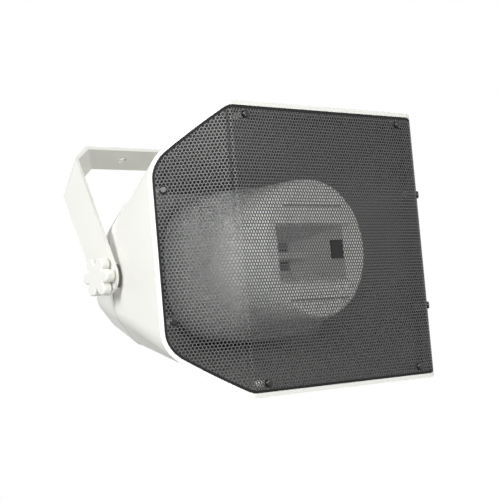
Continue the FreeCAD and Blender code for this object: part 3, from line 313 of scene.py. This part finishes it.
def painted_shade_pod_finish(name, colour, roughness):
    """Moulded finish of the pod, with painted shade: darker in the creases and on walls of its mouth that don't
    face upwards.
    """
    material = grained_finish(name, colour, roughness, grain=1200)
    tree = material.node_tree
    where = add_node(tree, "ShaderNodeTexCoord", (-1500, 400))
    place = add_node(tree, "ShaderNodeSeparateXYZ", (-1300, 400))
    facing = add_node(tree, "ShaderNodeSeparateXYZ", (-1300, 800))
    tree.links.new(where.outputs["Object"], place.inputs[0])
    tree.links.new(where.outputs["Normal"], facing.inputs[0])
    pod_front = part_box("centre_pod")[0].y
    across = math_node(tree, "ABSOLUTE", place.outputs["X"], None, (-1100, 500))
    level = math_node(tree, "SUBTRACT", place.outputs["Z"], HORN_MIDDLE - POD_DROP, (-1100, 300))
    off_middle = math_node(tree, "ABSOLUTE", level, None, (-1000, 300))

    # Painted shade in thin lines along the creases above and below the mouth
    off_crease = math_node(tree, "SUBTRACT", off_middle, CREASE_HEIGHT, (-900, 300))
    off_line = math_node(tree, "ABSOLUTE", off_crease, None, (-800, 300))
    line = math_node(tree, "LESS_THAN", off_line, CREASE_HALF_WIDTH, (-700, 300))
    within = math_node(tree, "LESS_THAN", across, CREASE_HALF_LENGTH, (-900, 500))
    near = math_node(tree, "LESS_THAN", place.outputs["Y"], pod_front + CREASE_REACH, (-900, 700))
    stretch = math_node(tree, "MULTIPLY", within, near, (-700, 600))
    crease_shade = math_node(tree, "MULTIPLY", line, stretch, (-500, 500))

    # Painted shade on the walls of the pod's mouth, the more the less they face upwards
    wide = math_node(tree, "LESS_THAN", across, POD_MOUTH_HALF_WIDTH, (-900, 900))
    high = math_node(tree, "LESS_THAN", off_middle, POD_MOUTH_HALF_HEIGHT, (-900, 1000))
    deep = math_node(tree, "GREATER_THAN", place.outputs["Y"], pod_front + POD_MOUTH_START, (-900, 1100))
    opening = math_node(tree, "MULTIPLY", wide, high, (-700, 950))
    mouth = math_node(tree, "MULTIPLY", opening, deep, (-600, 1000))
    upwards = math_node(tree, "MAXIMUM", facing.outputs["Z"], 0.0, (-1100, 800))
    turned_away = math_node(tree, "SUBTRACT", 1.0, upwards, (-1000, 800))
    wall_shade = math_node(tree, "MULTIPLY", turned_away, POD_MOUTH_SHADE, (-900, 800))
    mouth_shade = math_node(tree, "MULTIPLY", mouth, wall_shade, (-500, 900))

    # The pod's tone is darkened as painted shade wherever either mask says so
    shade = math_node(tree, "MAXIMUM", crease_shade, mouth_shade, (-400, 600))
    mix_tone(material, shade, [PAINTED_SHADE_TONE * channel for channel in colour])
    return material


def paint(obj, material):
    """Gives an object one finish."""
    obj.data.materials.clear()
    obj.data.materials.append(material)


class HORNSPEAKER_OT_finishes(bpy.types.Operator):
    """Makes the finishes and gives each solid its own"""

    bl_idname = "horn_speaker.finishes"
    bl_label = "Finishes"

    def execute(self, context):
        colours = context.scene.horn_speaker_colours
        sizes = context.scene.horn_speaker_grille
        moulded = grained_finish("moulded_housing", colours.housing, 0.42, grain=1500, strength=0.2)
        knob = grained_finish("moulded_knob", colours.yoke, 0.42, grain=1500, strength=0.2)
        # The pod's finish has shade painted into its creases and its mouth
        pod = painted_shade_pod_finish("pod_moulding", colours.pod, 0.5)
        black_paint = grained_finish("black_paint", (0.03, 0.03, 0.032), 0.4)
        rubber = grained_finish("black_rubber", (0.025, 0.025, 0.026), 0.75, grain=700)
        plated = grained_finish("plated_steel", (0.62, 0.62, 0.6), 0.3, grain=500, metallic=1.0)
        cone = grained_finish("pressed_cone", (0.045, 0.045, 0.047), 0.6, grain=300, strength=0.5)
        brass = grained_finish("turned_brass", (0.74, 0.55, 0.25), 0.32, grain=500, metallic=1.0)
        gland = grained_finish("gland_moulding", (0.70, 0.70, 0.66), 0.45)
        coat = {
            "horn_housing": lined_finish("lined_housing", colours.housing, colours.inside, 0.42, sizes),
            "rear_shell": moulded,
            "terminal_cover": moulded,
            "knob_left": knob,
            "knob_right": knob,
            "yoke": grained_finish("yoke_powder_coat", colours.yoke, 0.48, grain=700, strength=0.3),
            "centre_pod": pod,
            "pod_cover": pod,
            "grille": grained_finish("grille_powder_coat", colours.grille, 0.33, grain=1600, strength=0.08,
                                     specular=0.65),
            "badge_plate": grained_finish("badge_black", (0.01, 0.01, 0.011), 0.3, grain=800, strength=0.05,
                                          specular=0.2),
            "grille_screws": grained_finish("gloss_black", (0.008, 0.008, 0.009), 0.14, grain=500,
                                            strength=0.03),
            "hf_driver": black_paint,
            "woofer_frame": black_paint,
            "woofer_cone": cone,
            "woofer_dust_cap": cone,
            "woofer_spider": banded_finish("spider_cloth", (0.55, 0.38, 0.13), (0.42, 0.28, 0.09), 300, "X", 0.85),
            "woofer_voice_coil": banded_finish("coil_winding", (0.62, 0.30, 0.12), (0.40, 0.18, 0.07), 600, "Y",
                                               0.35, metallic=1.0),
            "woofer_magnet": grained_finish("ferrite", (0.06, 0.06, 0.063), 0.6, grain=350, strength=0.5),
            "rear_shell_gasket": grained_finish("pale_gasket", (0.55, 0.55, 0.52), 0.7, grain=700),
            "terminal_block": grained_finish("terminal_moulding", (0.04, 0.04, 0.042), 0.5),
            "line_transformer": banded_finish("laminations", (0.20, 0.20, 0.21), (0.10, 0.10, 0.11), 500, "X",
                                              0.4, metallic=0.8),
            "crossover_board": banded_finish("board_laminate", (0.03, 0.16, 0.06), (0.04, 0.20, 0.08), 250, "Z",
                                             0.4),
            "crossover_coil": banded_finish("copper_winding", (0.66, 0.32, 0.13), (0.45, 0.20, 0.08), 500, "Y",
                                            0.35, metallic=1.0),
        }
        kinds = {"pivot_insert": brass, "gland": gland, "gasket": rubber, "washer": rubber, "surround": rubber}
        for name, node in NODES.items():
            usual = next((finish for word, finish in kinds.items() if word in name), plated)
            paint(node, coat.get(name, usual))
        return {"FINISHED"}


# Grille

def deselect_all():
    bpy.ops.object.select_all(action="DESELECT")


def select_only(obj):
    """Makes one object active, with nothing else selected."""
    deselect_all()
    obj.select_set(True)
    bpy.context.view_layer.objects.active = obj


def edit_mesh(obj):
    """Opens one object alone in edit mode."""
    select_only(obj)
    bpy.ops.object.mode_set(mode="EDIT")


def leave_edit():
    bpy.ops.object.mode_set(mode="OBJECT")


def apply_modifier(obj, kind, **values):
    """Adds one modifier and applies it at once."""
    select_only(obj)
    modifier = obj.modifiers.new(kind.lower(), kind)
    for name, setting in values.items():
        setattr(modifier, name, setting)
    bpy.ops.object.modifier_apply(modifier=modifier.name)


def repeat_mesh(obj, count, step):
    """Repeats an object's mesh along a fixed step."""
    apply_modifier(obj, "ARRAY", count=count, use_relative_offset=False, use_constant_offset=True,
                   constant_offset_displace=step)


class Fold:
    """Bend between the flat panel and a wing, measured on the middle of the sheet."""

    STEPS = 6

    def __init__(self, sizes):
        self.angle = sizes.fold_angle
        self.start = sizes.fold_line - sizes.fold_radius * math.tan(sizes.fold_angle / 2)
        self.centre_depth = sizes.fold_radius
        self.middle = sizes.recess + sizes.thickness / 2
        self.radius = sizes.fold_radius - self.middle
        self.length = self.radius * sizes.fold_angle

    def flat_place(self, across, depth):
        """Distance from the panel's middle along the unfolded sheet."""
        if across <= self.start:
            return across
        turn = math.atan2(across - self.start, self.centre_depth - depth)
        if turn <= self.angle:
            return self.start + self.radius * turn
        sideways = (across - self.start) * math.cos(self.angle)
        backwards = (depth - self.centre_depth) * math.sin(self.angle)
        return self.start + self.length + sideways + backwards

    def lines(self):
        """Places of the small bends on the unfolded sheet, from the outside in."""
        step = self.length / self.STEPS
        return [self.start + (index + 0.5) * step for index in reversed(range(self.STEPS))]

    def bend(self, obj, side):
        """Folds a flat sheet back on one side, bend by bend."""
        for line in self.lines():
            edit_mesh(obj)
            bpy.ops.mesh.select_all(action="DESELECT")
            leave_edit()
            for vertex in obj.data.vertices:
                vertex.select = side * vertex.co.x > line
            bpy.ops.object.mode_set(mode="EDIT")
            bpy.ops.transform.rotate(value=-side * self.angle / self.STEPS, orient_axis="Z",
                                     center_override=(side * line, self.middle, 0))
            leave_edit()


def sheet_outline(fold):
    """Outline of the unfolded sheet, as corners in order, read from the solid's own vertices."""
    points = []
    for vertex in NODES["grille"].data.vertices:
        depth = vertex.co.y - HORN_FRONT
        height = vertex.co.z - HORN_MIDDLE
        side = 1 if vertex.co.x >= 0 else -1
        points.append(Vector((side * fold.flat_place(abs(vertex.co.x), depth), height)))
    ring = [points[index] for index in convex_hull_2d(points)]
    corners = [ring[0]]
    passed = []
    for point in ring[1:] + ring[:1]:
        start = corners[-1]
        chord = (point - start).normalized()
        if any(abs(chord.cross(skipped - start)) > OUTLINE_TOLERANCE for skipped in passed):
            corners.append(passed[-1])
            passed = []
        passed.append(point)
    return corners


def hexagon_cell(pitch, bar):
    """One hexagon of web round its hole, facing forwards."""
    deselect_all()
    bpy.ops.mesh.primitive_circle_add(vertices=6, radius=pitch / math.sqrt(3), fill_type="NGON",
                                      rotation=(math.pi / 2, 0, 0))
    cell = bpy.context.object
    bpy.ops.object.transform_apply(location=False, rotation=True, scale=False)
    edit_mesh(cell)
    bpy.ops.mesh.select_all(action="SELECT")
    bpy.ops.mesh.inset(thickness=bar / 2, depth=0)
    bpy.ops.mesh.delete(type="FACE")
    bpy.ops.mesh.select_all(action="SELECT")
    row = pitch * math.sqrt(3) / 2
    bpy.ops.mesh.duplicate_move(TRANSFORM_OT_translate={"value": (pitch / 2, 0, row)})
    leave_edit()
    return cell, row


def clip_sheet(obj, corners, inset):
    """Cuts a flat sheet back to the outline, moved inwards by the inset."""
    edit_mesh(obj)
    for index, corner in enumerate(corners):
        along = (corners[(index + 1) % len(corners)] - corner).normalized()
        outward = Vector((along.y, -along.x))
        if outward.dot(corner) < 0:
            outward.negate()
        place = corner - outward * inset
        bpy.ops.mesh.select_all(action="SELECT")
        bpy.ops.mesh.bisect(plane_co=(place.x, 0, place.y), plane_no=(outward.x, 0, outward.y),
                            clear_outer=True)
    leave_edit()


def finish_sheet(obj, name, sizes, fold, sides, finish):
    """Gives a flat sheet its thickness, folds and finish, and moves its mesh to its place in the horn."""
    obj.name = name
    apply_modifier(obj, "SOLIDIFY", thickness=sizes.thickness, offset=-1)
    obj.data.transform(Matrix.Translation((0, sizes.recess, 0)))
    for side in sides:
        fold.bend(obj, side)
    obj.data.transform(Matrix.Translation((0, HORN_FRONT, HORN_MIDDLE)))
    obj.data.update()
    paint(obj, finish)
    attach(obj, "horn")


class HORNSPEAKER_OT_grille(bpy.types.Operator):
    """Makes the fine perforated sheet in two halves, with its plain border"""

    bl_idname = "horn_speaker.grille"
    bl_label = "Perforated Grille"

    def execute(self, context):
        sizes = context.scene.horn_speaker_grille
        fold = Fold(sizes)
        corners = sheet_outline(fold)
        pieces = [self.make_mesh(name, side, corners, sizes, fold)
                  for name, side in (("grille_mesh_left", -1), ("grille_mesh_right", 1))]
        pieces.append(self.make_border(corners, sizes, fold))
        for piece in pieces:
            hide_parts("grille")
        return {"FINISHED"}

    def make_mesh(self, name, side, corners, sizes, fold):
        """Perforated half of the sheet on one side of the middle."""
        reach = max(corner.x for corner in corners)
        top = max(corner.y for corner in corners)
        bottom = min(corner.y for corner in corners)
        mesh, row = hexagon_cell(sizes.pitch, sizes.bar)
        start = 0 if side > 0 else -reach - sizes.pitch
        mesh.data.transform(Matrix.Translation((start, 0, bottom - row)))
        repeat_mesh(mesh, int(reach / sizes.pitch) + 3, (sizes.pitch, 0, 0))
        repeat_mesh(mesh, int((top - bottom) / (2 * row)) + 2, (0, 0, 2 * row))
        edit_mesh(mesh)
        bpy.ops.mesh.select_all(action="SELECT")
        bpy.ops.mesh.remove_doubles(threshold=WELD_DISTANCE)
        bpy.ops.mesh.bisect(plane_co=(0, 0, 0), plane_no=(-side, 0, 0), clear_outer=True)
        leave_edit()
        clip_sheet(mesh, corners, sizes.border)
        finish_sheet(mesh, name, sizes, fold, (side,), bpy.data.materials["grille_powder_coat"])
        return mesh

    def make_border(self, corners, sizes, fold):
        """Plain margin of the sheet, as wide as the border, painted near black as painted shade of the gap round
        its edge.
        """
        deselect_all()
        bpy.ops.mesh.primitive_circle_add(vertices=len(corners), radius=1, fill_type="NGON")
        border = bpy.context.object
        ordered = sorted(corners, key=lambda corner: -math.atan2(corner.x, corner.y))
        for vertex, corner in zip(border.data.vertices, ordered):
            vertex.co = (corner.x, 0, corner.y)
        edit_mesh(border)
        bpy.ops.mesh.select_all(action="SELECT")
        bpy.ops.mesh.inset(thickness=sizes.border + BORDER_OVERLAP, depth=0)
        bpy.ops.mesh.delete(type="FACE")
        for side in (-1, 1):
            for line in fold.lines():
                bpy.ops.mesh.select_all(action="SELECT")
                bpy.ops.mesh.bisect(plane_co=(side * line, 0, 0), plane_no=(1, 0, 0))
        bpy.ops.mesh.select_all(action="SELECT")
        bpy.ops.mesh.normals_make_consistent(inside=False)
        leave_edit()
        if border.data.polygons[0].normal.y > 0:
            edit_mesh(border)
            bpy.ops.mesh.select_all(action="SELECT")
            bpy.ops.mesh.flip_normals()
            leave_edit()
        # Near-black painted shade on the margin, for the dark gap between the sheet's edge and the lip
        border_shade = grained_finish("border_painted_shade", (0.012, 0.012, 0.013), 0.6, strength=0.1, specular=0.15)
        finish_sheet(border, "grille_border", sizes, fold, (-1, 1), border_shade)
        return border


# Stage

def add_softbox(name, target, turn, rise, width, power):
    """Square soft lamp at the set distance, facing a point; its turn and rise are in degrees."""
    lamp = bpy.data.lights.new(name, "AREA")
    lamp.shape = "SQUARE"
    lamp.size = width
    lamp.energy = power
    obj = bpy.data.objects.new(name, lamp)
    turn = math.radians(turn)
    rise = math.radians(rise)
    level = Vector((-math.sin(turn), -math.cos(turn), 0))
    away = level * math.cos(rise) + Vector((0, 0, math.sin(rise)))
    obj.location = target + LAMP_DISTANCE * away
    obj.rotation_euler = (-away).to_track_quat("-Z", "Y").to_euler()
    bpy.context.scene.collection.objects.link(obj)


class HORNSPEAKER_OT_stage(bpy.types.Operator):
    """Makes the camera, floor, sky and soft lamps"""

    bl_idname = "horn_speaker.stage"
    bl_label = "Stage"

    def execute(self, context):
        settings = context.scene.horn_speaker_stage
        scene = context.scene
        scene.view_settings.view_transform = "Standard"
        self.add_camera(scene, settings)
        self.add_floor(settings)
        self.add_sky(scene, settings)
        target = Vector((0, HORN_FRONT + LAMP_TARGET_DEPTH, HORN_MIDDLE))
        for name, values in LAMPS.items():
            add_softbox(name, target, *values)
        return {"FINISHED"}

    def add_camera(self, scene, settings):
        """Camera at the photograph's viewpoint."""
        camera = bpy.data.cameras.new("camera")
        camera.lens = settings.lens
        camera.sensor_width = SENSOR_WIDTH
        obj = bpy.data.objects.new("camera", camera)
        up = CAMERA_RIGHT.cross(CAMERA_FORWARD).normalized()
        turn = Matrix((CAMERA_RIGHT, up, -CAMERA_FORWARD)).transposed()
        place = CAMERA_PLACE + Vector((0, HORN_FRONT, HORN_MIDDLE))
        obj.matrix_world = Matrix.Translation(place) @ turn.to_4x4()
        scene.collection.objects.link(obj)
        scene.camera = obj

    def add_floor(self, settings):
        """Floor far below the hung speaker, paler for the camera."""
        deselect_all()
        bpy.ops.mesh.primitive_plane_add(size=FLOOR_SIZE, location=(0, 0, settings.floor_drop))
        floor = bpy.context.object
        floor.name = "floor"
        material = bpy.data.materials.new("pale_floor")
        material.use_nodes = True
        tree = material.node_tree
        shader = tree.nodes["Principled BSDF"]
        shader.inputs["Base Color"].default_value = (FLOOR_TONE, FLOOR_TONE, FLOOR_TONE, 1)
        shader.inputs["Roughness"].default_value = 0.9
        path = add_node(tree, "ShaderNodeLightPath", (-600, 300))
        glow = add_node(tree, "ShaderNodeEmission", (-200, 300))
        glow.inputs["Strength"].default_value = 1.0
        blend = add_node(tree, "ShaderNodeMixShader", (200, 200))
        share = math_node(tree, "MULTIPLY", path.outputs["Is Camera Ray"], FLOOR_GLOW, (-400, 300))
        links = tree.links
        links.new(share, blend.inputs["Fac"])
        links.new(shader.outputs["BSDF"], blend.inputs[1])
        links.new(glow.outputs["Emission"], blend.inputs[2])
        links.new(blend.outputs["Shader"], tree.nodes["Material Output"].inputs["Surface"])
        floor.data.materials.append(material)

    def add_sky(self, scene, settings):
        """Even pale light, plain white where the camera or a reflection sees it."""
        world = bpy.data.worlds.new("studio")
        scene.world = world
        world.use_nodes = True
        tree = world.node_tree
        sky = tree.nodes["Background"]
        sky.inputs["Color"].default_value = (1, 1, 1, 1)
        path = add_node(tree, "ShaderNodeLightPath", (-700, 200))
        clear = math_node(tree, "MAXIMUM", path.outputs["Is Camera Ray"], path.outputs["Is Transmission Ray"],
                          (-500, 200))
        seen = math_node(tree, "MAXIMUM", clear, path.outputs["Is Glossy Ray"], (-350, 200))
        strength = add_node(tree, "ShaderNodeMapRange", (-180, 200))
        strength.inputs["To Min"].default_value = settings.sky
        strength.inputs["To Max"].default_value = 1.0
        tree.links.new(seen, strength.inputs["Value"])
        tree.links.new(strength.outputs["Result"], sky.inputs["Strength"])


class HORNSPEAKER_PT_panel(bpy.types.Panel):
    """Lists the speaker's operators and sizes"""

    bl_idname = "HORNSPEAKER_PT_panel"
    bl_label = "Horn Speaker"
    bl_space_type = "VIEW_3D"
    bl_region_type = "UI"
    bl_category = "Horn Speaker"

    def draw(self, context):
        column = self.layout.column()
        for operator in OPERATORS:
            column.operator(operator.bl_idname)
        for name in SETTINGS:
            group = getattr(context.scene, name)
            box = column.box()
            for prop in group.__annotations__:
                box.prop(group, prop)


OPERATORS = (HORNSPEAKER_OT_finishes, HORNSPEAKER_OT_grille, HORNSPEAKER_OT_stage)
SETTINGS = {
    "horn_speaker_grille": GrilleSizes,
    "horn_speaker_colours": FinishColours,
    "horn_speaker_stage": StageSettings,
}


def register():
    for group in SETTINGS.values():
        bpy.utils.register_class(group)
    for name, group in SETTINGS.items():
        setattr(bpy.types.Scene, name, PointerProperty(type=group))
    for operator in OPERATORS:
        bpy.utils.register_class(operator)
    bpy.utils.register_class(HORNSPEAKER_PT_panel)


def unregister():
    bpy.utils.unregister_class(HORNSPEAKER_PT_panel)
    for operator in reversed(OPERATORS):
        bpy.utils.unregister_class(operator)
    for name, group in SETTINGS.items():
        delattr(bpy.types.Scene, name)
        bpy.utils.unregister_class(group)


def main():
    register()
    bpy.ops.horn_speaker.finishes()
    bpy.ops.horn_speaker.grille()
    bpy.ops.horn_speaker.stage()


if __name__ == "__main__":
    main()
